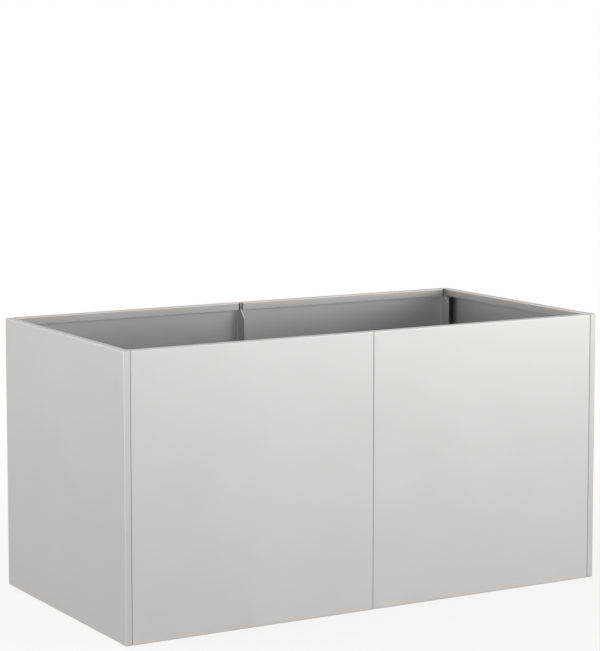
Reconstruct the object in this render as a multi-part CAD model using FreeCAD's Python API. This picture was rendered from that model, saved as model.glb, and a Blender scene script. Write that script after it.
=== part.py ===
import FreeCAD, Part
import os
from math import cos, radians, sin
from FreeCAD import Vector

# Rectangular floor planter, folded from stainless sheet and bolted together on inside flanges.
# Millimetres: X along the front from left to right, Y from front to back, Z up from the ground.

# Overall sizes
panel_length = 380.0        # one front or back panel, from the middle seam to the corner groove
depth = 400.0
height = 400.0

# Walls
wall_sheet = 1.0
wall_bend = 0.8             # inside radius of every fold
corner_return = 10.0        # end panel's turn onto the front and back, and the width of its rim
rim_width = 10.0            # rim of a front or back panel
rim_lip = 12.0              # edge turned down inside the rim
foot_flange = 20.0          # edge of a front or back panel turned in along the ground
foot_lip = 12.0             # edge turned up inside the foot of an end panel
joint_flange = 22.0         # bolted flange, measured from the outer face of the long walls
fold_slit = 0.6             # gap where two folds of one sheet come together

# Base trays
tray_sheet = 1.0
tray_bend = 1.5
tray_height = 26.0
tray_clearance = 0.5        # between the tray and the flanges beside it, or the bends before and behind it
drain_diameter = 10.0
drain_margin = 60.0         # outer drain holes to the tray's edges
drain_columns = 3
drain_rows = 3

# Cross brace
brace_sheet = 1.5
brace_bend = 1.5
brace_height = 30.0
brace_flange = 12.0
brace_clearance = 1.0       # between the brace's ends and the bends of the walls
brace_tab_corner = 4.0

# Fasteners
bolt_diameter = 5.0
bolt_inset = 12.0           # bolt axis behind the outer face of the long walls
bolt_margin = 70.0          # lowest bolt above the ground, and highest bolt below the rim
bolt_point = 0.6
corner_bolt_end = 1.0       # thread past the weld nut
seam_bolt_end = 1.8         # thread past the nut of the brace
hole_clearance = 0.5        # on the diameter, as are the next two
washer_clearance = 0.3
thread_clearance = 0.1
head_diameter = 9.5
head_height = 2.75
head_land = 0.5             # straight edge under the dome of a bolt's head
socket_across = 3.0
socket_depth = 1.6
washer_diameter = 10.0
washer_thickness = 1.0
nut_across = 8.0
nut_height = 4.7
weld_nut_across = 9.0
weld_nut_height = 4.0

overrun = 1.0               # how far every cut runs past the metal

# Places worked out from the sizes
half_length = panel_length + corner_return
half_depth = depth / 2
bolt_line = half_depth - bolt_inset
bolt_heights = (bolt_margin, height / 2, height - bolt_margin)
brace_level = height / 2
hole_radius = (bolt_diameter + hole_clearance) / 2
seam_stack = 2 * (washer_thickness + wall_sheet) + brace_sheet
seam_bolt_length = seam_stack + nut_height + seam_bolt_end
corner_bolt_length = washer_thickness + 2 * wall_sheet + weld_nut_height + corner_bolt_end

LEFT, RIGHT = Vector(-1, 0, 0), Vector(1, 0, 0)
FRONT, BACK = Vector(0, -1, 0), Vector(0, 1, 0)
DOWN, UP = Vector(0, 0, -1), Vector(0, 0, 1)
ALL_SIDES = (LEFT, RIGHT, FRONT, BACK, DOWN, UP)
ORIGIN = Vector(0, 0, 0)


def block(low, high):
    size = high - low
    return Part.makeBox(size.x, size.y, size.z, low)


def rounded_block(low, high, radius, sides):
    """A box whose edges are rounded wherever two of the named sides meet."""
    box = block(low, high)
    middle = (low + high) / 2
    half = (high - low) / 2
    folds = []
    for edge in box.Edges:
        outward = edge.CenterOfMass - middle
        touching = [side for side in sides if 2 * outward.dot(side) > abs(half.dot(side))]
        if len(touching) == 2:
            folds.append(edge)
    return box.makeFillet(radius, folds)


def hollow_inside(low, high, sheet, bend, sides):
    """The space that a folded sheet encloses, running out past every side that has no sheet."""
    inner_low = Vector(low)
    inner_high = Vector(high)
    for side in ALL_SIDES:
        step = side * (-sheet if side in sides else overrun)
        if side in (LEFT, FRONT, DOWN):
            inner_low += step
        else:
            inner_high += step
    return rounded_block(inner_low, inner_high, bend, sides)


def folded_box(low, high, sheet, bend, sides):
    """Sheet metal folded into a box, with a wall on each of the named sides."""
    return rounded_block(low, high, sheet + bend, sides).cut(hollow_inside(low, high, sheet, bend, sides))


def rod_along_x(radius, start, end, y, z):
    return Part.makeCylinder(radius, end - start, Vector(start, y, z), RIGHT)


def half_turn(shape):
    """A copy turned to the opposite corner of the planter."""
    return shape.rotated(ORIGIN, UP, 180)


def prism_along_x(outline, start, end):
    """A solid with a Y-Z outline, running from start to end along the front."""
    points = [Vector(start, y, z) for y, z in outline]
    face = Part.Face(Part.makePolygon(points + points[:1]))
    return face.extrude(RIGHT * (end - start))


def front_left_panel():
    """Pan with bolted flanges at both ends, a foot turned in and a rim with a turned-down lip."""
    front = -half_depth
    low = Vector(-panel_length, front, 0)
    high = Vector(0, front + joint_flange + foot_flange, height)
    sides = (LEFT, RIGHT, FRONT, DOWN, UP)
    pan = rounded_block(low, high, wall_sheet + wall_bend, sides)
    hollow = hollow_inside(low, high, wall_sheet, wall_bend, sides)

    lip_foot = height - rim_lip
    bend_top = wall_sheet + wall_bend
    flange_top = lip_foot - (joint_flange - rim_width)
    outline = [
        (front - overrun, -overrun),
        (front + foot_flange, -overrun),
        (front + foot_flange, bend_top),
        (front + joint_flange, bend_top),
        (front + joint_flange, flange_top),
        (front + rim_width, lip_foot),
        (front - overrun, lip_foot),
    ]
    wall = pan.cut(hollow).common(prism_along_x(outline, -panel_length - overrun, overrun))

    rim_low = Vector(-panel_length - overrun, front - overrun, lip_foot)
    rim_high = Vector(overrun, front + rim_width, height)
    channel_low = Vector(rim_low.x, rim_low.y, lip_foot - overrun)
    channel_high = Vector(rim_high.x, rim_high.y - wall_sheet, rim_high.z - wall_sheet)
    rim = pan.common(rounded_block(rim_low, rim_high, wall_sheet + wall_bend, (BACK, UP)))
    rim = rim.cut(hollow.common(rounded_block(channel_low, channel_high, wall_bend, (BACK, UP))))

    cuts = []
    for lip_end in (-panel_length + wall_sheet, -wall_sheet - fold_slit):
        slit_low = Vector(lip_end, rim_high.y - bend_top, lip_foot - overrun)
        slit_high = Vector(lip_end + fold_slit, rim_high.y + overrun, height - bend_top)
        cuts.append(block(slit_low, slit_high))
    for level in bolt_heights:
        cuts.append(rod_along_x(hole_radius, -panel_length - overrun, overrun, -bolt_line, level))
    return wall.fuse(rim).removeSplitter().cut(cuts)


def left_end_panel():
    """Pan whose edges are folded twice: round the corner, then inwards as a frame of flanges and lips."""
    low = Vector(-half_length, -half_depth, 0)
    high = Vector(-panel_length, half_depth, height)
    panel = folded_box(low, high, wall_sheet, wall_bend, ALL_SIDES)

    middle_of_pan = (low.x + high.x) / 2
    window_edge = half_depth - joint_flange
    lip_foot = height - rim_lip
    past_frame = high.x + overrun
    cuts = [block(Vector(middle_of_pan, -window_edge, foot_lip), Vector(past_frame, window_edge, lip_foot))]
    bend_edge = half_depth - wall_sheet - wall_bend
    for slit_foot in (foot_lip, lip_foot - fold_slit):
        for start, end in ((-bend_edge, -window_edge), (window_edge, bend_edge)):
            slit_low = Vector(middle_of_pan, start, slit_foot)
            cuts.append(block(slit_low, Vector(past_frame, end, slit_foot + fold_slit)))
    for y in (-bolt_line, bolt_line):
        for level in bolt_heights:
            cuts.append(rod_along_x(hole_radius, middle_of_pan, past_frame, y, level))
    return panel.cut(cuts)


def left_base_tray():
    """Upside-down tray with drain holes, standing on the feet of the long walls."""
    flange_gap = wall_sheet + tray_clearance
    wall_gap = wall_sheet + wall_bend + tray_clearance
    low = Vector(-panel_length + flange_gap, -half_depth + wall_gap, wall_sheet)
    high = Vector(-flange_gap, half_depth - wall_gap, wall_sheet + tray_height)
    tray = folded_box(low, high, tray_sheet, tray_bend, (LEFT, RIGHT, FRONT, BACK, UP))

    # The skirts beside the flanges stop above the bends at the walls' feet.
    relief = tray_sheet + tray_bend
    relief_top = wall_sheet + wall_bend + tray_clearance
    cuts = []
    for start in (low.x - overrun, high.x - relief):
        relief_low = Vector(start, low.y - overrun, low.z - overrun)
        cuts.append(block(relief_low, Vector(start + relief + overrun, high.y + overrun, relief_top)))

    column_step = (high.x - low.x - 2 * drain_margin) / (drain_columns - 1)
    row_step = (high.y - low.y - 2 * drain_margin) / (drain_rows - 1)
    for column in range(drain_columns):
        for row in range(drain_rows):
            x = low.x + drain_margin + column * column_step
            y = low.y + drain_margin + row * row_step
            drain_foot = Vector(x, y, high.z - tray_sheet - overrun)
            cuts.append(Part.makeCylinder(drain_diameter / 2, tray_sheet + 2 * overrun, drain_foot))
    return tray.cut(cuts)


def cross_brace():
    """Channel that ties the front seam to the back seam, with a flat bolted tab at each end."""
    end = half_depth - wall_sheet - wall_bend - brace_clearance
    tab_start = half_depth - joint_flange
    low = Vector(wall_sheet, -end, brace_level - brace_height / 2)
    high = Vector(wall_sheet + brace_flange, end, brace_level + brace_height / 2)
    brace = folded_box(low, high, brace_sheet, brace_bend, (LEFT, UP, DOWN))

    tab_half = brace_height / 2 - brace_sheet - brace_bend
    tab_low = Vector(low.x - overrun, -end, brace_level - tab_half)
    tab_high = Vector(low.x + brace_sheet, -tab_start + overrun, brace_level + tab_half)
    tab = rounded_block(tab_low, tab_high, brace_tab_corner, (FRONT, UP, DOWN))
    tab_zone = block(
        Vector(low.x - overrun, -end - overrun, low.z - overrun),
        Vector(high.x + overrun, -tab_start, high.z + overrun),
    )
    beside_tab = tab_zone.cut(tab)
    cuts = [beside_tab, beside_tab.mirror(ORIGIN, BACK)]
    for y in (-bolt_line, bolt_line):
        cuts.append(rod_along_x(hole_radius, low.x - overrun, high.x, y, brace_level))
    return brace.cut(cuts)


def hexagon_along_x(across, start, end):
    corner = across / 2 / cos(radians(30))
    turns = [radians(60 * n) for n in range(6)]
    return prism_along_x([(corner * cos(turn), corner * sin(turn)) for turn in turns], start, end)


def bolt(length):
    """Button-head socket bolt pointing along X, with the underside of its head at zero."""
    dome_height = head_height - head_land
    dome_radius = ((head_diameter / 2) ** 2 + dome_height ** 2) / (2 * dome_height)
    dome = Part.makeSphere(dome_radius, Vector(dome_radius - head_height, 0, 0))
    head = rod_along_x(head_diameter / 2, -head_height, 0, 0, 0).common(dome)
    head = head.cut(hexagon_along_x(socket_across, -head_height - overrun, socket_depth - head_height))
    shank = rod_along_x(bolt_diameter / 2, 0, length, 0, 0)
    tip = [edge for edge in shank.Edges if edge.BoundBox.XMin > length / 2]
    return head.fuse(shank.makeChamfer(bolt_point, tip))


def washer():
    ring = rod_along_x(washer_diameter / 2, 0, washer_thickness, 0, 0)
    bore = (bolt_diameter + washer_clearance) / 2
    return ring.cut(rod_along_x(bore, -overrun, washer_thickness + overrun, 0, 0))


def nut(across, thickness):
    """Hexagon nut along X with chamfered corners, its seat at zero."""
    corner = across / 2 / cos(radians(30))
    turned = rod_along_x(corner, 0, thickness, 0, 0)
    rims = [edge for edge in turned.Edges if edge.BoundBox.XLength < thickness / 2]
    turned = turned.makeChamfer(corner - across / 2, rims)
    bore = rod_along_x((bolt_diameter + thread_clearance) / 2, -overrun, thickness + overrun, 0, 0)
    return hexagon_along_x(across, 0, thickness).common(turned).cut(bore)


def set_along_joint(piece, places):
    """Copies of one fastener, as separate solids, at the given places."""
    return Part.makeCompound([piece.translated(place) for place in places])


def right_corner_fasteners(y):
    """Bolts put in from inside the planter, with washers under the heads and nuts welded to the end panel."""
    seat = panel_length - wall_sheet - washer_thickness
    washer_places = [Vector(seat, y, level) for level in bolt_heights]
    nut_places = [Vector(panel_length + wall_sheet, y, level) for level in bolt_heights]
    return {
        "bolts": set_along_joint(bolt(corner_bolt_length), washer_places),
        "washers": set_along_joint(washer(), washer_places),
        "weld_nuts": set_along_joint(nut(weld_nut_across, weld_nut_height), nut_places),
    }


def seam_fasteners(y):
    """Bolts through both panels, with a washer on each side. The middle one also holds the brace."""
    seat = -wall_sheet - washer_thickness
    head_places = [Vector(seat, y, level) for level in bolt_heights]
    nut_side_places = []
    for level in bolt_heights:
        packing = brace_sheet if level == brace_level else 0
        nut_side_places.append(Vector(wall_sheet + packing, y, level))
    nut_places = [place + RIGHT * washer_thickness for place in nut_side_places]
    return {
        "bolts": set_along_joint(bolt(seam_bolt_length), head_places),
        "washers": set_along_joint(washer(), head_places + nut_side_places),
        "nuts": set_along_joint(nut(nut_across, nut_height), nut_places),
    }


pieces = {}

panel = front_left_panel()
pieces["front_left_panel"] = panel
pieces["front_right_panel"] = panel.translated(RIGHT * panel_length)
pieces["back_right_panel"] = half_turn(pieces["front_left_panel"])
pieces["back_left_panel"] = half_turn(pieces["front_right_panel"])

pieces["left_end_panel"] = left_end_panel()
pieces["right_end_panel"] = half_turn(pieces["left_end_panel"])

pieces["left_base_tray"] = left_base_tray()
pieces["right_base_tray"] = half_turn(pieces["left_base_tray"])

pieces["cross_brace"] = cross_brace()

for wall, opposite, y in (("front", "back", -bolt_line), ("back", "front", bolt_line)):
    for kind, fasteners in right_corner_fasteners(y).items():
        pieces[f"{wall}_right_corner_{kind}"] = fasteners
        pieces[f"{opposite}_left_corner_{kind}"] = half_turn(fasteners)
    for kind, fasteners in seam_fasteners(y).items():
        pieces[f"{wall}_seam_{kind}"] = fasteners

os.makedirs("parts", exist_ok=True)
for name, shape in pieces.items():
    shape.exportStep(f"parts/{name}.step")
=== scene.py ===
import math

import bmesh
import bpy
from mathutils import Matrix, Vector


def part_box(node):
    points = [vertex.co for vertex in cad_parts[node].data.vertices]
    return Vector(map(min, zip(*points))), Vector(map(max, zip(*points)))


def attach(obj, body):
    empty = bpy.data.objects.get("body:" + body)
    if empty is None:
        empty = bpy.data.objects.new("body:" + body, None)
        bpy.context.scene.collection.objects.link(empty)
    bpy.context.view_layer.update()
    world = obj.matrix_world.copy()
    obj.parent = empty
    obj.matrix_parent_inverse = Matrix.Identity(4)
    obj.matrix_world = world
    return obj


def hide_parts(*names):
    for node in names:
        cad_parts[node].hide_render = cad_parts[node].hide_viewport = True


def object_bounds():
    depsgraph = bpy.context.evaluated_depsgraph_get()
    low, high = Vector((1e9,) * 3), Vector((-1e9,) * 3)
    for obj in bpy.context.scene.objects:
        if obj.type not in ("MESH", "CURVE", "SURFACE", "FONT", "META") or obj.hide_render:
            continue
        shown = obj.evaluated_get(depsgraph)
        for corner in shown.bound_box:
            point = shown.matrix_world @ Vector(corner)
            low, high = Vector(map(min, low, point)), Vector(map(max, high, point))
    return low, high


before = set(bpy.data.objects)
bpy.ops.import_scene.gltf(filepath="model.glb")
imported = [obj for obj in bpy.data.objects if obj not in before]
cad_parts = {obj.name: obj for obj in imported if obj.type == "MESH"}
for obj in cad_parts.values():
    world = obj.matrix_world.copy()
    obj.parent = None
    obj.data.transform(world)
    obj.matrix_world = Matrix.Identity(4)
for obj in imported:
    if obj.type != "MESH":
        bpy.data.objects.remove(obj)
cad_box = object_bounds()

# Long wall panels
# Four pans folded from one-millimetre stainless sheet with a satin grain, two side by side on each long
# side. Each has a rim with a lip and a foot folded inwards, and a flange down both sides for the bolts.
X, Y, Z = range(3)
touch = 0.00001
sheet = 0.001
fold_radius = 0.0018
fold_steps = 8
rim_width = 0.010
rim_lip = 0.012
lip_relief = 0.0035
foot_depth = 0.020
foot_notch = 0.006
flat_steps = 10
sheet_crown = 0.0003
bolt_inset = 0.012
bolt_margin = 0.070
bolt_hole_radius = 0.00275
hole_sides = 48
cut_overrun = 0.002
sheared_edge = 0.00015
sheared_steps = 2
smooth_angle = math.radians(40)
along_x = (0, math.pi / 2, 0)
half_turn = math.pi


def open_block(name, low, high):
    """Adds a box between two corners and opens it for editing with nothing selected."""
    bpy.ops.object.select_all(action="DESELECT")
    bpy.ops.mesh.primitive_cube_add(size=1, location=(low + high) / 2, scale=high - low)
    bpy.ops.object.transform_apply(location=True, rotation=True, scale=True)
    block = bpy.context.object
    block.name = name
    block.data.name = name
    bpy.ops.object.mode_set(mode="EDIT")
    bpy.ops.mesh.select_all(action="DESELECT")
    return block


def pick(kind, wanted):
    """Selects only those vertices, edges or faces of the open mesh that are wanted."""
    bpy.ops.mesh.select_mode(type=kind)
    bpy.ops.mesh.select_all(action="DESELECT")
    data = bpy.context.object.data
    mesh = bmesh.from_edit_mesh(data)
    for part in {"VERT": mesh.verts, "EDGE": mesh.edges, "FACE": mesh.faces}[kind]:
        if wanted(part):
            part.select_set(True)
    bmesh.update_edit_mesh(data)


def lies_on(part, axis, place):
    """Whether every corner of an edge or a face lies on the plane at a place on an axis."""
    return all(abs(corner.co[axis] - place) < touch for corner in part.verts)


def box_planes(part, low, high):
    """How many of a box's six planes hold the whole edge or face."""
    return sum(lies_on(part, axis, place) for axis in (X, Y, Z) for place in (low[axis], high[axis]))


def middle(part):
    """The middle of an edge or a face."""
    return sum((corner.co for corner in part.verts), Vector()) / len(part.verts)


def slice_at(axis, places):
    """Cuts the open mesh through on planes square to an axis."""
    square = Vector(int(axis == other) for other in (X, Y, Z))
    for place in places:
        bpy.ops.mesh.select_all(action="SELECT")
        bpy.ops.mesh.bisect(plane_co=square * place, plane_no=square)


def dividing(start, end, count):
    """The places that divide a length into equal parts."""
    return [start + (end - start) * step / count for step in range(1, count)]


def fold(wanted, radius):
    """Rounds edges of the open mesh to the radius that a press brake leaves."""
    pick("EDGE", wanted)
    bpy.ops.mesh.bevel(offset=radius, segments=fold_steps, affect="EDGES", clamp_overlap=False)


def crown(centre, axis, rise, reach):
    """Lifts the flat round a vertex of the open mesh a little, as rolled sheet never lies quite flat."""
    pick("VERT", lambda corner: (corner.co - centre).length < touch)
    lift = Vector(rise * int(axis == other) for other in (X, Y, Z))
    bpy.ops.transform.translate(
        value=lift,
        use_proportional_edit=True,
        use_proportional_connected=True,
        proportional_edit_falloff="SMOOTH",
        proportional_size=reach,
    )


def close():
    """Leaves the open mesh with its doubled corners merged and every face turned outwards."""
    bpy.ops.mesh.select_all(action="SELECT")
    bpy.ops.mesh.remove_doubles(threshold=touch)
    bpy.ops.mesh.normals_make_consistent(inside=False)
    bpy.ops.object.mode_set(mode="OBJECT")


def take(*pieces):
    """Selects some pieces and no others, with the first one active."""
    bpy.ops.object.select_all(action="DESELECT")
    for piece in pieces:
        piece.select_set(True)
    bpy.context.view_layer.objects.active = pieces[0]


def shape(piece, kind, **settings):
    """Gives a piece one modifier and applies it."""
    take(piece)
    modifier = piece.modifiers.new(kind, kind)
    for setting, value in settings.items():
        setattr(modifier, setting, value)
    bpy.ops.object.modifier_apply(modifier=modifier.name)


def thicken(piece, thickness):
    """Gives a folded surface the thickness of its sheet, inwards."""
    shape(piece, "SOLIDIFY", thickness=thickness, offset=-1, use_even_offset=True)


def cut(piece, tool, operation="DIFFERENCE"):
    """Cuts a piece with another shape, which is used up."""
    shape(piece, "BOOLEAN", operation=operation, solver="EXACT", object=tool)
    bpy.data.objects.remove(tool)


def drill(piece, centre, radius, length, sides=hole_sides):
    """Bores a hole along X, which is round unless it is given few sides."""
    bpy.ops.mesh.primitive_cylinder_add(
        vertices=sides, radius=radius, depth=length, location=centre, rotation=along_x
    )
    cut(piece, bpy.context.object)


def ease_edges(piece, width):
    """Takes the sharpness off cut edges and shades flats as flat and folds as round."""
    shape(
        piece,
        "BEVEL",
        width=width,
        segments=sheared_steps,
        limit_method="ANGLE",
        angle_limit=smooth_angle,
        use_clamp_overlap=False,
    )
    bpy.ops.object.shade_smooth_by_angle(angle=smooth_angle)
    shape(piece, "WEIGHTED_NORMAL", keep_sharp=True)


def copy_of(piece, name, turn, move):
    """A copy with a mesh of its own, turned about the upright axis and then moved."""
    take(piece)
    bpy.ops.object.duplicate()
    copy = bpy.context.object
    copy.name = name
    copy.data.name = name
    copy.data.transform(Matrix.Translation(move) @ Matrix.Rotation(turn, 4, "Z"))
    return copy


def node(material, kind, inputs, **settings):
    """Adds a shader node with its settings, and sets or links its inputs."""
    new = material.node_tree.nodes.new("ShaderNode" + kind)
    for setting, value in settings.items():
        setattr(new, setting, value)
    for socket, value in inputs.items():
        if isinstance(value, bpy.types.NodeSocket):
            material.node_tree.links.new(value, new.inputs[socket])
        else:
            new.inputs[socket].default_value = value
    return new


def new_metal(name):
    """A metal, its shader, and the coordinates that the patterns on it follow."""
    material = bpy.data.materials.new(name)
    material.use_nodes = True
    metal = material.node_tree.nodes["Principled BSDF"]
    metal.inputs["Metallic"].default_value = 1
    place = node(material, "TexCoord", {}).outputs["Object"]
    return material, metal, place


def noise(material, place, scale, detail, roughness):
    """A random pattern, finer where the scale is larger."""
    inputs = {"Vector": place, "Scale": scale, "Detail": detail, "Roughness": roughness}
    return node(material, "TexNoise", inputs).outputs["Fac"]


def grain(material, place, scale):
    """Fine streaks of a belt grinder, long where the scale is small and narrow where it is large."""
    stretched = node(material, "Mapping", {"Vector": place, "Scale": scale}).outputs["Vector"]
    return noise(material, stretched, scale=1, detail=4, roughness=0.65)


pattern_low = 0.3
pattern_high = 0.7


def spread(material, pattern, low, high):
    """Turns the middle range of a pattern into a value from low to high."""
    inputs = {
        "Value": pattern,
        "From Min": pattern_low,
        "From Max": pattern_high,
        "To Min": low,
        "To Max": high,
    }
    return node(material, "MapRange", inputs).outputs["Result"]


def finish_metal(material, metal, lines, clouds, colours, dullness, patches, relief, depth):
    """Tints a metal by its cloudy marks, dulls it by its lines and its marks, and raises the lines."""
    links = material.node_tree.links
    tint = node(material, "ValToRGB", {"Fac": clouds})
    for stop, position, colour in zip(tint.color_ramp.elements, (pattern_low, pattern_high), colours):
        stop.position = position
        stop.color = (*colour, 1)
    links.new(tint.outputs["Color"], metal.inputs["Base Color"])
    lined = spread(material, lines, *dullness)
    patchy = spread(material, clouds, -patches, patches)
    dull = node(material, "Math", {0: lined, 1: patchy})
    links.new(dull.outputs["Value"], metal.inputs["Roughness"])
    bump = node(material, "Bump", {"Height": lines, "Strength": relief, "Distance": depth})
    links.new(bump.outputs["Normal"], metal.inputs["Normal"])
    return material


streak = 28
streak_across = 2400
streak_depth = 0.00003
dull_steel = (0.537, 0.519, 0.501)
clean_steel = (0.551, 0.533, 0.515)
steel_edge_tint = (0.82, 0.82, 0.82, 1)
long_tone = 1


def satin_steel(name, tone, flat_scale):
    """Stainless sheet ground to a satin grain that runs level on the walls, with faint handling marks."""
    material, metal, place = new_metal(name)
    metal.inputs["Specular Tint"].default_value = steel_edge_tint
    facing = node(material, "NewGeometry", {}).outputs["Normal"]
    upward = node(material, "SeparateXYZ", {"Vector": facing}).outputs["Z"]
    flat = node(material, "Math", {0: upward}, operation="ABSOLUTE").outputs["Value"]
    on_walls = grain(material, place, (streak, streak, streak_across))
    on_flats = grain(material, place, flat_scale)
    return finish_metal(
        material,
        metal,
        lines=node(material, "Mix", {"Factor": flat, "A": on_walls, "B": on_flats}).outputs["Result"],
        clouds=noise(material, place, scale=9, detail=5, roughness=0.55),
        colours=[[tone * share for share in colour] for colour in (dull_steel, clean_steel)],
        dullness=(0.37, 0.43),
        patches=0.01,
        relief=0.10,
        depth=streak_depth,
    )


def fit(piece, material, slot, *nodes):
    """Gives a finished piece its material and stands it for its CAD nodes."""
    piece.data.materials.clear()
    piece.data.materials.append(material)
    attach(piece, "root")
    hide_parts(*nodes)


low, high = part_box("front_left_panel")
flange_depth = high.y - low.y
rim_back = low.y + rim_width
lip_foot = high.z - rim_lip
shoulder = lip_foot - (flange_depth - rim_width)
lip_start = low.x + lip_relief
lip_end = high.x - lip_relief
panel = open_block("front_left_wall", low, high)
pick("FACE", lambda face: lies_on(face, Y, high.y))
bpy.ops.mesh.delete(type="FACE")
slice_at(Z, [low.z + foot_notch, shoulder, lip_foot] + dividing(low.z, high.z, flat_steps))
slice_at(X, [lip_start, lip_end] + dividing(low.x, high.x, flat_steps))
pick("VERT", lambda corner: corner.co.y > high.y - touch and corner.co.z > lip_foot - touch)
bpy.ops.transform.translate(value=(0, rim_width - flange_depth, 0))
pick("VERT", lambda corner: corner.co.y > high.y - touch and corner.co.z < low.z + touch)
bpy.ops.transform.translate(value=(0, foot_depth - flange_depth, 0))
pick(
    "EDGE",
    lambda edge: lies_on(edge, Z, high.z)
    and lies_on(edge, Y, rim_back)
    and lip_start < middle(edge).x < lip_end,
)
bpy.ops.mesh.extrude_edges_move(TRANSFORM_OT_translate={"value": (0, 0, -rim_lip)})
fold(
    lambda edge: box_planes(edge, low, high) == 2
    or lies_on(edge, Z, high.z) and lies_on(edge, Y, rim_back) and len(edge.link_faces) == 2,
    fold_radius,
)
centre = (low + high) / 2
crown(Vector((centre.x, low.y, centre.z)), Y, -sheet_crown, (high.x - low.x) / 2)
close()
thicken(panel, sheet)
bolt_levels = (low.z + bolt_margin, centre.z, high.z - bolt_margin)
for side in (low.x, high.x):
    for level in bolt_levels:
        drill(panel, (side, low.y + bolt_inset, level), bolt_hole_radius, 2 * cut_overrun)
ease_edges(panel, sheared_edge)

long_steel = satin_steel("satin_steel_long", long_tone, (streak, streak_across, streak))
panel_pitch = Vector((high.x - low.x, 0, 0))
panel_moves = {
    "front_right": (0, panel_pitch),
    "back_right": (half_turn, Vector()),
    "back_left": (half_turn, -panel_pitch),
}
for corner, (turn, move) in panel_moves.items():
    fit(copy_of(panel, corner + "_wall", turn, move), long_steel, "satin_stainless", corner + "_panel")
fit(panel, long_steel, "satin_stainless", "front_left_panel")

# End walls
# One pan at each end, folded from the same sheet. Its sides show as narrow strips on the front and the back,
# and its inner edges turn in to make the rim, the foot and the flanges that the long walls bolt to.
end_flange = 0.022
end_lip = 0.012
fold_slit = 0.0006
# Painted shade: the end walls take the same steel coloured a shade darker, to make them darker than the
# lamps leave them.
end_painted_shade = 0.95


def cutter(low, high):
    """A block between two corners that is ready to cut a piece."""
    block = open_block("cutter", low, high)
    bpy.ops.object.mode_set(mode="OBJECT")
    return block


low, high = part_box("left_end_panel")
window_low = Vector((high.x, low.y + end_flange, low.z + end_lip))
window_high = Vector((high.x, high.y - end_flange, high.z - end_lip))
end_wall = open_block("left_end_wall", low, high)
slice_at(Y, [window_low.y, window_high.y] + dividing(low.y, high.y, flat_steps))
slice_at(Z, [window_low.z, window_high.z] + dividing(low.z, high.z, flat_steps))
pick(
    "FACE",
    lambda face: lies_on(face, X, high.x)
    and window_low.y < middle(face).y < window_high.y
    and window_low.z < middle(face).z < window_high.z,
)
bpy.ops.mesh.delete(type="FACE")
fold(lambda edge: box_planes(edge, low, high) == 2, fold_radius)
centre = (low + high) / 2
crown(Vector((low.x, centre.y, centre.z)), X, -sheet_crown, (high.y - low.y) / 2)
close()
thicken(end_wall, sheet)
slit_out = high.y - fold_radius
slit_in = window_high.y - cut_overrun
for side in (-1, 1):
    near, far = sorted((side * slit_out, side * slit_in))
    for foot in (window_low.z, window_high.z - fold_slit):
        slit_low = Vector((high.x - sheet - fold_slit, near, foot))
        cut(end_wall, cutter(slit_low, Vector((high.x + cut_overrun, far, foot + fold_slit))))
    for level in bolt_levels:
        drill(end_wall, (high.x, side * (high.y - bolt_inset), level), bolt_hole_radius, 2 * cut_overrun)
ease_edges(end_wall, sheared_edge)

# A darker copy of the long walls' satin steel, which paints shade on the end walls.
end_steel_painted_shade = satin_steel("satin_steel_end_painted_shade", end_painted_shade, (streak_across, streak, streak))
right_end = copy_of(end_wall, "right_end_wall", half_turn, Vector())
fit(right_end, end_steel_painted_shade, "satin_stainless", "right_end_panel")
fit(end_wall, end_steel_painted_shade, "satin_stainless", "left_end_panel")

# Weld nuts
# Three hexagon nuts at each corner, tacked behind the end wall's flange with small weld beads before the
# planter is put together, so that the corner bolts are driven from inside with one key.
hexagon_sides = 6
nut_bore_radius = 0.00255
weld_nut_width = 0.009
nut_face_share = 0.475
nut_chamfer = math.radians(30)
nut_edge = 0.0002
nut_smooth_angle = math.radians(35)
bead_degrees = (60, 180, 300)
bead_sides = 16
weld_bead_radius = 0.0011
weld_bead_lift = 0.0003
weld_bead_gap = 0.00005


def open_rod(name, radius, start, end, sides):
    """Adds a rod along X and opens it for editing."""
    bpy.ops.object.select_all(action="DESELECT")
    bpy.ops.mesh.primitive_cylinder_add(
        vertices=sides,
        radius=radius,
        depth=end - start,
        location=((start + end) / 2, 0, 0),
        rotation=along_x,
    )
    bpy.ops.object.transform_apply(location=True, rotation=True, scale=True)
    rod = bpy.context.object
    rod.name = name
    rod.data.name = name
    bpy.ops.object.mode_set(mode="EDIT")
    return rod


def hexagon_radius(width):
    """The distance from a hexagon's middle to its corners, from its width across flats."""
    return width / math.sqrt(3)


def hexagon_nut(name, width, height):
    """A bored hexagon along X with its seat at zero, whose corners are turned down at both faces."""
    half = height / 2
    face_radius = width * nut_face_share
    turning = open_rod("turning", face_radius, 0, height, hole_sides)
    slice_at(X, [half])
    pick("VERT", lambda corner: abs(corner.co.x - half) < touch)
    swell = 1 + half / math.tan(nut_chamfer) / face_radius
    bpy.ops.transform.resize(value=(1, swell, swell), center_override=(half, 0, 0))
    close()
    nut = open_rod(name, hexagon_radius(width), 0, height, hexagon_sides)
    pick("EDGE", lambda edge: abs(edge.verts[0].co.x - edge.verts[1].co.x) > touch)
    bpy.ops.mesh.bevel(offset=nut_edge, segments=sheared_steps, affect="EDGES")
    bpy.ops.object.mode_set(mode="OBJECT")
    cut(nut, turning, "INTERSECT")
    drill(nut, (half, 0, 0), nut_bore_radius, height + 2 * cut_overrun)
    bpy.ops.object.mode_set(mode="EDIT")
    close()
    bpy.ops.object.shade_smooth_by_angle(angle=nut_smooth_angle)
    return nut


def at_bolts(x, y):
    """The places of one joint's three bolts, at a place along X and on their line along Y."""
    return [Vector((x, y, level)) for level in bolt_levels]


def set_out(pattern, name, places, turn):
    """Copies of one fastener at its places, joined into one group of separate solids."""
    group = [copy_of(pattern, name, turn, place) for place in places]
    take(*group)
    bpy.ops.object.join()
    return group[0]


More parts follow.
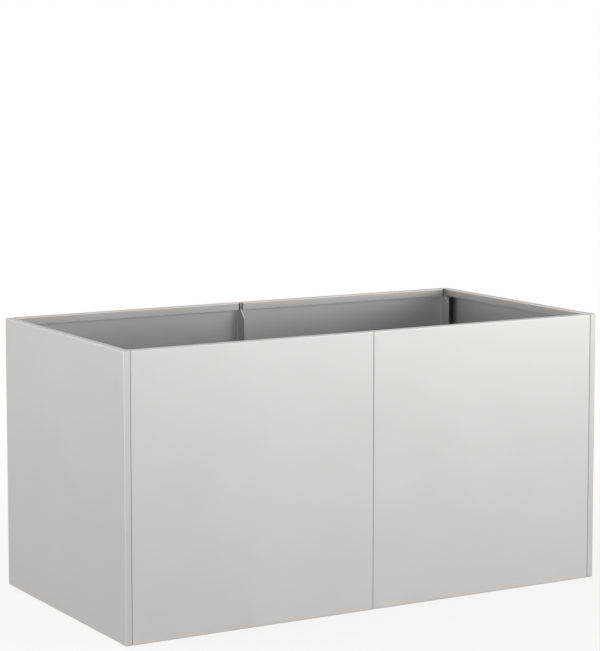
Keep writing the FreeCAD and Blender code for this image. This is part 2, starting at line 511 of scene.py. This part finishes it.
worn_shade = (-0.05, -0.06, -0.075)
bright_shade = (0.03, 0.022, 0.012)
polish_range = 0.03
tool_mark_depth = 0.00001


def bright_steel(name, dull, tone):
    """Cold-formed stainless, brighter than the sheet, with fine tool marks and a slightly uneven polish."""
    material, metal, place = new_metal(name)
    return finish_metal(
        material,
        metal,
        lines=noise(material, place, scale=2600, detail=3, roughness=0.6),
        clouds=noise(material, place, scale=260, detail=4, roughness=0.55),
        colours=[[tone + step for step in shade] for shade in (worn_shade, bright_shade)],
        dullness=(dull - polish_range, dull + polish_range),
        patches=0.04,
        relief=0.15,
        depth=tool_mark_depth,
    )


corners = [(face + "_" + side, side) for face in ("front", "back") for side in ("left", "right")]
low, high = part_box("front_right_corner_weld_nuts")
weld_nut = hexagon_nut("weld_nut", weld_nut_width, high.x - low.x)
bead_reach = hexagon_radius(weld_nut_width)
for degrees in bead_degrees:
    bead_angle = math.radians(degrees)
    bpy.ops.object.select_all(action="DESELECT")
    bpy.ops.mesh.primitive_uv_sphere_add(
        segments=bead_sides,
        ring_count=bead_sides // 2,
        radius=weld_bead_radius,
        location=(weld_bead_lift, bead_reach * math.cos(bead_angle), bead_reach * math.sin(bead_angle)),
    )
    bpy.ops.object.transform_apply(location=True, rotation=True, scale=True)
    bead = bpy.context.object
    bpy.ops.object.mode_set(mode="EDIT")
    bpy.ops.mesh.select_all(action="SELECT")
    bpy.ops.mesh.bisect(
        plane_co=(weld_bead_gap, 0, 0), plane_no=(1, 0, 0), use_fill=True, clear_inner=True
    )
    close()
    cut(weld_nut, bead, "UNION")
bpy.ops.object.mode_set(mode="EDIT")
close()
weld_nut_steel = bright_steel("weld_nut_steel", dull=0.34, tone=0.56)
for corner, side in corners:
    low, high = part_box(corner + "_corner_weld_nuts")
    seat = high.x if side == "left" else low.x
    turn = half_turn if side == "left" else 0
    nuts = set_out(weld_nut, corner + "_tacked_nuts", at_bolts(seat, (low.y + high.y) / 2), turn)
    fit(nuts, weld_nut_steel, "stainless_fasteners", corner + "_corner_weld_nuts")
bpy.data.objects.remove(weld_nut)

# Corner bolts and washers
# Button-head bolts with a hexagon socket and a rolled thread, each on a punched flat washer. They go through
# the long wall's flange and the end wall's flange into the weld nuts.
thread_radius = 0.0025
head_radius = 0.00475
head_height = 0.00275
head_land = 0.0005
dome_steps = 7
dome_sweep = math.radians(64)
socket_width = 0.003
socket_depth = 0.0016
bolt_sides = 32
thread_pitch = 0.0008
thread_depth = 0.00045
thread_rows = 8
thread_runout = 0.0006
crest_share = 0.2
root_share = 0.8
tip_chamfer = 0.0004
washer_radius = 0.005
washer_bore_radius = 0.00265
washer_edge = 0.0002


def grow(place, step, scale):
    """Extrudes the picked end of a rod along X and changes its width."""
    bpy.ops.mesh.extrude_region_move(TRANSFORM_OT_translate={"value": (step, 0, 0)})
    bpy.ops.transform.resize(value=(1, scale, scale), center_override=(place + step, 0, 0))


def button_bolt(name, length):
    """A bolt along X with its bearing face at zero, its head on the near side and its thread on the far."""
    bolt = open_rod(name, thread_radius, 0, length, bolt_sides)
    rows = round(length / thread_pitch * thread_rows)
    slice_at(X, dividing(0, length, rows))
    mesh = bmesh.from_edit_mesh(bolt.data)
    for corner in mesh.verts:
        along = corner.co.x
        turn = math.atan2(corner.co.z, corner.co.y) / math.tau
        wave = abs(2 * ((along / thread_pitch - turn) % 1) - 1)
        valley = min(max((wave - crest_share) / (root_share - crest_share), 0), 1)
        fade = min(max((along - thread_pitch) / thread_runout, 0), 1)
        narrowing = max(along - (length - tip_chamfer), 0)
        radius = min(thread_radius - thread_depth * valley * fade, thread_radius - narrowing)
        corner.co.yz = corner.co.yz.normalized() * radius
    bmesh.update_edit_mesh(bolt.data)
    pick("FACE", lambda end: lies_on(end, X, 0))
    grow(0, 0, head_radius / thread_radius)
    grow(0, -head_land, 1)
    reached = 0
    width = 1
    for step in range(1, dome_steps + 1):
        angle = dome_sweep * step / dome_steps
        rise = (head_height - head_land) * math.sin(angle) / math.sin(dome_sweep)
        grow(-head_land - reached, reached - rise, math.cos(angle) / width)
        reached = rise
        width = math.cos(angle)
    close()
    drill(bolt, (-head_height, 0, 0), hexagon_radius(socket_width), 2 * socket_depth, hexagon_sides)
    bpy.ops.object.shade_smooth_by_angle(angle=smooth_angle)
    return bolt


bolt_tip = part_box("front_right_corner_bolts")[1].x
low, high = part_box("front_right_corner_washers")
washer_sheet = high.x - low.x
corner_bolt = button_bolt("corner_bolt", bolt_tip - low.x)
washer = open_rod("washer", washer_radius, 0, washer_sheet, hole_sides)
pick("FACE", lambda face: lies_on(face, X, 0) or lies_on(face, X, washer_sheet))
bpy.ops.mesh.inset(thickness=washer_radius - washer_bore_radius)
bpy.ops.mesh.bridge_edge_loops()
close()
ease_edges(washer, washer_edge)
bolt_steel = bright_steel("bolt_steel", dull=0.24, tone=0.62)
washer_steel = bright_steel("washer_steel", dull=0.30, tone=0.60)
for corner, side in corners:
    low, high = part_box(corner + "_corner_washers")
    bolt_line = (low.y + high.y) / 2
    bearing = high.x if side == "left" else low.x
    turn = half_turn if side == "left" else 0
    bolts = set_out(corner_bolt, corner + "_button_bolts", at_bolts(bearing, bolt_line), turn)
    fit(bolts, bolt_steel, "stainless_fasteners", corner + "_corner_bolts")
    washers = set_out(washer, corner + "_flat_washers", at_bolts(low.x, bolt_line), 0)
    fit(washers, washer_steel, "stainless_fasteners", corner + "_corner_washers")
bpy.data.objects.remove(corner_bolt)

# Base trays
# Two trays folded upside down from mill-finish stainless sheet. They stand loose on the long walls' feet and
# carry the filling. Each has nine drain holes, and the sheet is pressed down a little round every hole.
tray_fold_radius = 0.0025
drain_radius = 0.005
drain_margin = 0.060
drain_sides = 32
dish_radius = 0.017
dish_depth = 0.0014
dish_steps = 5
skirt_relief = 0.0013
relief_reach = 0.0045
relief_slope = 0.009
low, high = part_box("left_base_tray")
columns = [low.x + drain_margin, (low.x + high.x) / 2, high.x - drain_margin]
rows = [low.y + drain_margin, (low.y + high.y) / 2, high.y - drain_margin]
column_edges = [low.x] + [(one + two) / 2 for one, two in zip(columns, columns[1:])] + [high.x]
row_edges = [low.y] + [(one + two) / 2 for one, two in zip(rows, rows[1:])] + [high.y]


def drained_cell(column, row):
    """The part of the tray's top round one drain hole: a pressed ring that runs out to a flat rectangle."""
    x = columns[column]
    y = rows[row]
    bpy.ops.object.select_all(action="DESELECT")
    bpy.ops.mesh.primitive_circle_add(
        vertices=drain_sides, radius=drain_radius, location=(x, y, high.z - dish_depth)
    )
    bpy.ops.object.transform_apply(location=True, rotation=True, scale=True)
    cell = bpy.context.object
    bpy.ops.object.mode_set(mode="EDIT")
    bpy.ops.mesh.select_all(action="SELECT")
    reached = drain_radius
    sunk = dish_depth
    for step in range(1, dish_steps + 1):
        share = step / dish_steps
        radius = drain_radius + (dish_radius - drain_radius) * share
        depth = dish_depth * (1 + math.cos(math.pi * share)) / 2
        widening = radius / reached
        bpy.ops.mesh.extrude_edges_move(TRANSFORM_OT_translate={"value": (0, 0, sunk - depth)})
        bpy.ops.transform.resize(value=(widening, widening, 1), center_override=(x, y, high.z))
        reached = radius
        sunk = depth
    bpy.ops.mesh.extrude_edges_move(TRANSFORM_OT_translate={"value": (0, 0, 0)})
    mesh = bmesh.from_edit_mesh(cell.data)
    for corner in mesh.verts:
        if corner.select:
            across = (corner.co.x - x) / dish_radius
            along = (corner.co.y - y) / dish_radius
            square = max(abs(across), abs(along))
            corner.co.x = x + across / square * abs(column_edges[column + int(across > 0)] - x)
            corner.co.y = y + along / square * abs(row_edges[row + int(along > 0)] - y)
    bmesh.update_edit_mesh(cell.data)
    bpy.ops.object.mode_set(mode="OBJECT")
    return cell


cells = [drained_cell(column, row) for column in range(len(columns)) for row in range(len(rows))]
take(*cells)
bpy.ops.object.join()
tray = cells[0]
tray.name = "left_drain_tray"
tray.data.name = "left_drain_tray"
bpy.ops.object.mode_set(mode="EDIT")
bpy.ops.mesh.select_all(action="SELECT")
bpy.ops.mesh.remove_doubles(threshold=touch)
pick("EDGE", lambda edge: len(edge.link_faces) == 1 and box_planes(edge, low, high) == 2)
bpy.ops.mesh.extrude_edges_move(TRANSFORM_OT_translate={"value": (0, 0, low.z - high.z)})
slice_at(X, [low.x + relief_reach, low.x + relief_slope, high.x - relief_slope, high.x - relief_reach])
fold(lambda edge: box_planes(edge, low, high) == 2 and len(edge.link_faces) == 2, tray_fold_radius)
pick(
    "VERT",
    lambda corner: corner.co.z < low.z + touch
    and min(corner.co.x - low.x, high.x - corner.co.x) < relief_reach + touch,
)
bpy.ops.transform.translate(value=(0, 0, skirt_relief))
close()
thicken(tray, sheet)
ease_edges(tray, sheared_edge)

mill_grey = (0.520, 0.512, 0.500)
mill_sheen = (0.590, 0.583, 0.572)
rolling_scale = (700, 22, 22)
rolling_depth = 0.00002


def mill_steel(name):
    """Cold-rolled sheet as it leaves the mill, softly grey with faint rolling lines and dull patches."""
    material, metal, place = new_metal(name)
    return finish_metal(
        material,
        metal,
        lines=grain(material, place, rolling_scale),
        clouds=noise(material, place, scale=14, detail=6, roughness=0.6),
        colours=(mill_grey, mill_sheen),
        dullness=(0.38, 0.44),
        patches=0.05,
        relief=0.08,
        depth=rolling_depth,
    )


tray_steel = mill_steel("mill_steel_tray")
right_tray = copy_of(tray, "right_drain_tray", half_turn, Vector())
fit(right_tray, tray_steel, "mill_stainless", "right_base_tray")
fit(tray, tray_steel, "mill_stainless", "left_base_tray")

# Cross brace
# A channel folded from thicker mill-finish sheet that ties the front seam to the back seam, so that the
# filling cannot push the long walls apart. A flat tab at each end goes under the middle nut of the seam.
brace_sheet = 0.0015
brace_fold_radius = 0.003
tab_corner = 0.004
tab_trim = 0.0002
low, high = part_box("cross_brace")
front_low, front_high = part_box("front_left_panel")
channel_end = -front_high.y
brace_middle = (low.z + high.z) / 2
tab_half = (high.z - low.z) / 2 - brace_fold_radius - tab_trim


def across_brace(along, up):
    """A block for cutting, longer along X than the brace, between two places along Y and two along Z."""
    bottom = Vector((low.x - cut_overrun, min(along), min(up)))
    return cutter(bottom, Vector((high.x + cut_overrun, max(along), max(up))))


brace = open_block("tie_channel", low, high)
pick("FACE", lambda face: lies_on(face, X, high.x) or lies_on(face, Y, low.y) or lies_on(face, Y, high.y))
bpy.ops.mesh.delete(type="FACE")
slice_at(Y, dividing(low.y, high.y, flat_steps))
fold(lambda edge: box_planes(edge, low, high) == 2 and len(edge.link_faces) == 2, brace_fold_radius)
close()
thicken(brace, brace_sheet)
for end in (-1, 1):
    bolt_place = (low.x, end * (-front_low.y - bolt_inset), brace_middle)
    drill(brace, bolt_place, bolt_hole_radius, 2 * cut_overrun)
    for side in (-1, 1):
        tab_side = brace_middle + side * tab_half
        past_end = end * (high.y + cut_overrun)
        past_side = brace_middle + side * (high.z - low.z)
        cut(brace, across_brace((end * channel_end, past_end), (tab_side, past_side)))
        round_y = end * (high.y - tab_corner)
        round_z = tab_side - side * tab_corner
        corner_waste = across_brace((round_y, past_end), (round_z, past_side))
        drill(corner_waste, (low.x, round_y, round_z), tab_corner + touch, high.x - low.x + 4 * cut_overrun)
        cut(brace, corner_waste)
ease_edges(brace, sheared_edge)
fit(brace, mill_steel("mill_steel_brace"), "mill_stainless", "cross_brace")

# Seam bolts, washers and nuts
# Three longer bolts through each seam pull the two long panels together, with a washer on both sides and a
# plain hexagon nut. The middle nut also holds the brace's tab, so it sits further out by that sheet.
nut_width = 0.008
nut_height = 0.0047
nut = hexagon_nut("nut", nut_width, nut_height)
nut_steel = bright_steel("nut_steel", dull=0.27, tone=0.61)
bolt_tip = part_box("front_seam_bolts")[1].x
seam_bolt = button_bolt("seam_bolt", bolt_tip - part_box("front_seam_washers")[0].x)
under_nuts = (sheet, sheet + brace_sheet, sheet)
for face in ("front", "back"):
    low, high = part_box(face + "_seam_washers")
    bolt_line = (low.y + high.y) / 2
    heads = at_bolts(low.x, bolt_line)
    bolts = set_out(seam_bolt, face + "_seam_button_bolts", heads, 0)
    fit(bolts, bolt_steel, "stainless_fasteners", face + "_seam_bolts")
    nut_sides = [Vector((start, bolt_line, level)) for start, level in zip(under_nuts, bolt_levels)]
    washers = set_out(washer, face + "_seam_flat_washers", heads + nut_sides, 0)
    fit(washers, washer_steel, "stainless_fasteners", face + "_seam_washers")
    nut_seats = [place + Vector((washer_sheet, 0, 0)) for place in nut_sides]
    nuts = set_out(nut, face + "_seam_hexagon_nuts", nut_seats, 0)
    fit(nuts, nut_steel, "stainless_fasteners", face + "_seam_nuts")
for pattern in (seam_bolt, washer, nut):
    bpy.data.objects.remove(pattern)

# Floor
# A pale seamless studio floor. It lies in full shadow under the planter, takes some light and shadow round
# it, and fades into the white background further out.
floor_size = 12
floor_drop = 0.0002
fade_start = 0.5
fade_end = 1.7
white_share = 0.75
under_feet = 0.005
paper_colour = (0.85, 0.85, 0.85, 1)
paper_roughness = 0.9
white_light = (1, 1, 1, 1)
bpy.ops.object.select_all(action="DESELECT")
bpy.ops.mesh.primitive_plane_add(size=floor_size, location=(0, 0, -floor_drop))
bpy.ops.object.transform_apply(location=True, rotation=True, scale=True)
floor = bpy.context.object
floor.name = "studio_floor"
paper = bpy.data.materials.new("white_paper")
paper.use_nodes = True
paper_shader = paper.node_tree.nodes["Principled BSDF"]
paper_shader.inputs["Base Color"].default_value = paper_colour
paper_shader.inputs["Roughness"].default_value = paper_roughness
paper_shader.inputs["Specular IOR Level"].default_value = 0


def combine(material, operation, one, two):
    """One value worked out from two."""
    return node(material, "Math", {0: one, 1: two}, operation=operation).outputs["Value"]


def seen(material):
    """One for rays from the camera and for those that metal or glass sends on, and none for the rest."""
    ray = node(material, "LightPath", {}).outputs
    first = combine(material, "MAXIMUM", ray["Is Camera Ray"], ray["Is Glossy Ray"])
    return combine(material, "MAXIMUM", first, ray["Is Transmission Ray"])


def beyond(coordinate, reach):
    """One where a coordinate of the floor lies further out than the reach on either side, or else none."""
    span = node(paper, "Math", {0: coordinate}, operation="ABSOLUTE").outputs["Value"]
    return combine(paper, "GREATER_THAN", span, reach)


place = node(paper, "TexCoord", {}).outputs["Object"]
distance = node(paper, "VectorMath", {0: place}, operation="LENGTH").outputs["Value"]
share = node(
    paper,
    "MapRange",
    {"Value": distance, "From Min": fade_start, "From Max": fade_end, "To Min": white_share, "To Max": 1},
    interpolation_type="SMOOTHSTEP",
).outputs["Result"]
axes = node(paper, "SeparateXYZ", {"Vector": place}).outputs
uncovered = combine(
    paper,
    "MAXIMUM",
    beyond(axes["X"], cad_box[1][X] - under_feet),
    beyond(axes["Y"], cad_box[1][Y] - under_feet),
)
glow_share = combine(paper, "MULTIPLY", combine(paper, "MULTIPLY", share, uncovered), seen(paper))
glow = node(paper, "Emission", {"Color": white_light, "Strength": 1}).outputs["Emission"]
blend = node(paper, "MixShader", {"Fac": glow_share, 1: paper_shader.outputs["BSDF"], 2: glow})
surface = paper.node_tree.nodes["Material Output"].inputs["Surface"]
paper.node_tree.links.new(blend.outputs["Shader"], surface)
floor.data.materials.append(paper)

# Light and background
# A white surround with four soft lamps in a ring, too wide to leave a hard highlight on the steel. Two stand
# in front towards the right, a low one on the left, and behind it a tall one that keeps the left end light.
ambient = 0.75
lamp_target = Vector((0, 0, 0.2))
lamp_reach = 3.2
lamp_width = 3.2
front_height = 1.2
front_level = 0.85
left_height = 0.9
left_level = 0.6
tall_height = 2.3
tall_level = 1.3
scene = bpy.context.scene
scene.view_settings.view_transform = "Standard"
scene.world = bpy.data.worlds.new("white_surround")
scene.world.use_nodes = True
surround = scene.world.node_tree.nodes["Background"]
surround.inputs["Color"].default_value = white_light
strength = node(scene.world, "MapRange", {"Value": seen(scene.world), "To Min": ambient, "To Max": 1})
scene.world.node_tree.links.new(strength.outputs["Result"], surround.inputs["Strength"])


def soft_lamp(name, level, height, azimuth, power):
    """A large lamp behind a white screen. Azimuth is measured from straight in front towards the right."""
    lamp = bpy.data.lights.new(name, "AREA")
    lamp.shape = "RECTANGLE"
    lamp.size = lamp_width
    lamp.size_y = height
    lamp.energy = power
    stand = bpy.data.objects.new(name, lamp)
    turn = math.radians(azimuth)
    stand.location = (lamp_reach * math.sin(turn), -lamp_reach * math.cos(turn), level)
    stand.rotation_euler = (lamp_target - stand.location).to_track_quat("-Z", "Y").to_euler()
    stand.visible_camera = False
    scene.collection.objects.link(stand)


soft_lamp("front_right_lamp", front_level, front_height, azimuth=52, power=18)
soft_lamp("front_lamp", front_level, front_height, azimuth=30, power=13)
soft_lamp("left_lamp", left_level, left_height, azimuth=-60, power=22)
soft_lamp("tall_lamp", tall_level, tall_height, azimuth=-120, power=38)

# Camera
# A long lens a little above the rim, turned to show the front and the left end.
camera_place = (-1.6892, -2.8982, 0.8262)
camera_yaw = math.radians(30.171)
camera_pitch = math.radians(5.852)
focal_length = 126.17
sensor_width = 36
lens_shift = -0.1
lens = bpy.data.cameras.new("camera")
lens.lens = focal_length
lens.sensor_width = sensor_width
lens.shift_y = lens_shift
camera = bpy.data.objects.new("camera", lens)
camera.location = camera_place
camera.rotation_euler = (math.pi / 2 - camera_pitch, 0, -camera_yaw)
scene.collection.objects.link(camera)
scene.camera = camera
